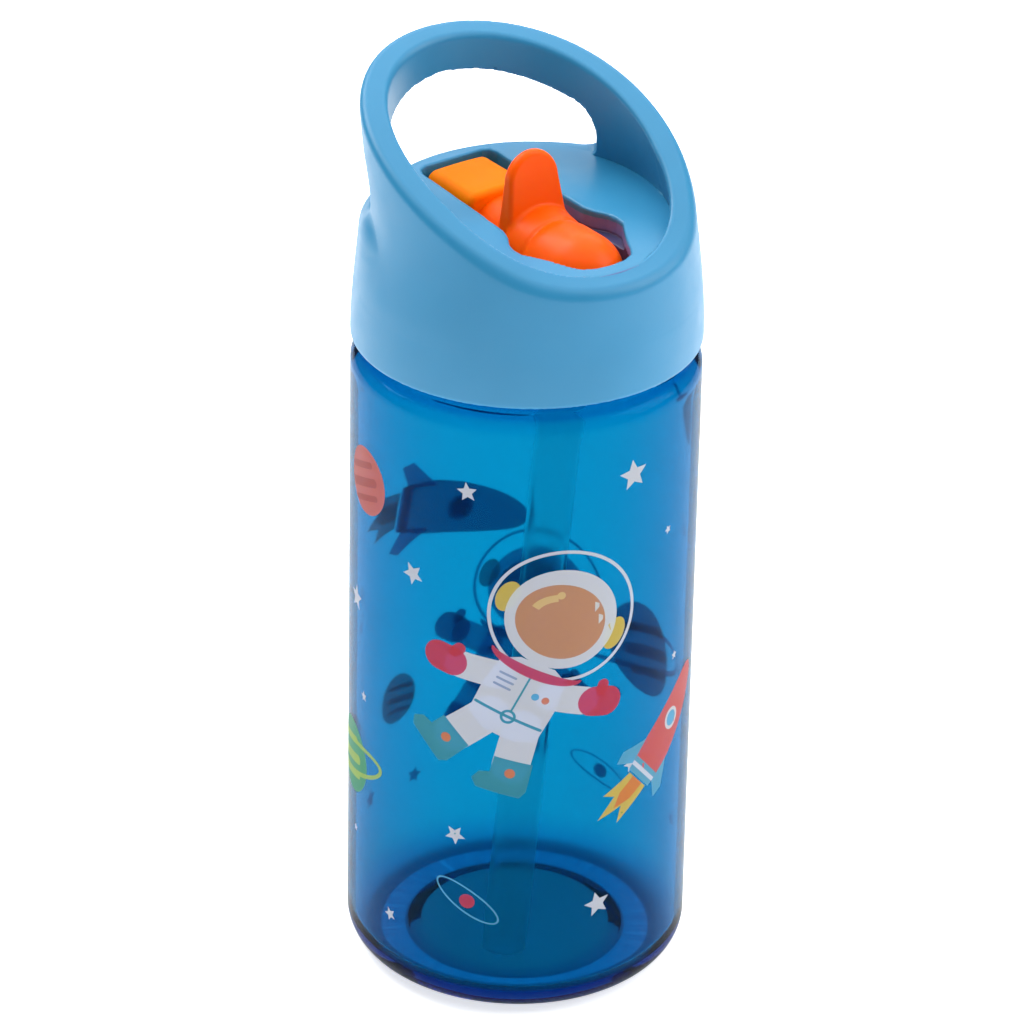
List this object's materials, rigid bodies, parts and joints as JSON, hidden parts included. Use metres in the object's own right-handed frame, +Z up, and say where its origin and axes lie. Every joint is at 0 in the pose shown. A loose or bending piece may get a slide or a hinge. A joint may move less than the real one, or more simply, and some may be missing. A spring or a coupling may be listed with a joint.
{
  "type": "kids drinking bottle",
  "caption": "Kids' drinking bottle: clear blue plastic body, screw lid with a sloping carry handle, flip-up spout with soft mouthpiece and thumb tab, and an inner straw.",
  "frame": {"origin": "centre of the bottle's base underside, on the bottle's axis", "axes": "+Z up along the bottle's axis, -Y towards the drinking side (the low side of the lid's rim), +Y towards the high side of the handle, +X along the spout's hinge"},
  "size_m": [0.074, 0.0748, 0.2034],
  "materials": {
    "clear_blue": "clear, polished",
    "lid_blue": "fine satin",
    "spout_orange": "satin",
    "soft_amber": "soft satin",
    "silicone": "soft matte",
    "straw_blue": "clear, polished"
  },
  "bodies": {
    "bottle": {"bottle_body": "clear_blue"},
    "sealing_ring": {"lid_gasket": "silicone"},
    "lid": {"lid_shell": "lid_blue", "lid_core": "lid_blue", "spout_seal": "silicone", "vent_valve": "silicone", "straw": "straw_blue"},
    "spout": {"spout_carrier": "spout_orange", "mouthpiece": "soft_amber"}
  },
  "joints": [
    {"name": "lid_lift", "type": "slide", "parent": "bottle", "child": "sealing_ring", "axis": [0, 0, 1], "range_m": [0, 0.00325]},
    {"name": "lid_turn", "type": "hinge", "parent": "sealing_ring", "child": "lid", "pos_m": [0, 0, 0.154], "axis": [0, 0, 1], "range_deg": [0, 360]},
    {"name": "spout_flip", "type": "hinge", "parent": "lid", "child": "spout", "pos_m": [0, -0.012, 0.1666], "axis": [1, 0, 0], "range_deg": [0, 90]}
  ],
  "couplings": [
    {"joint": "lid_lift", "follows": "lid_turn", "m_per_rad": 0.0005093}
  ]
}
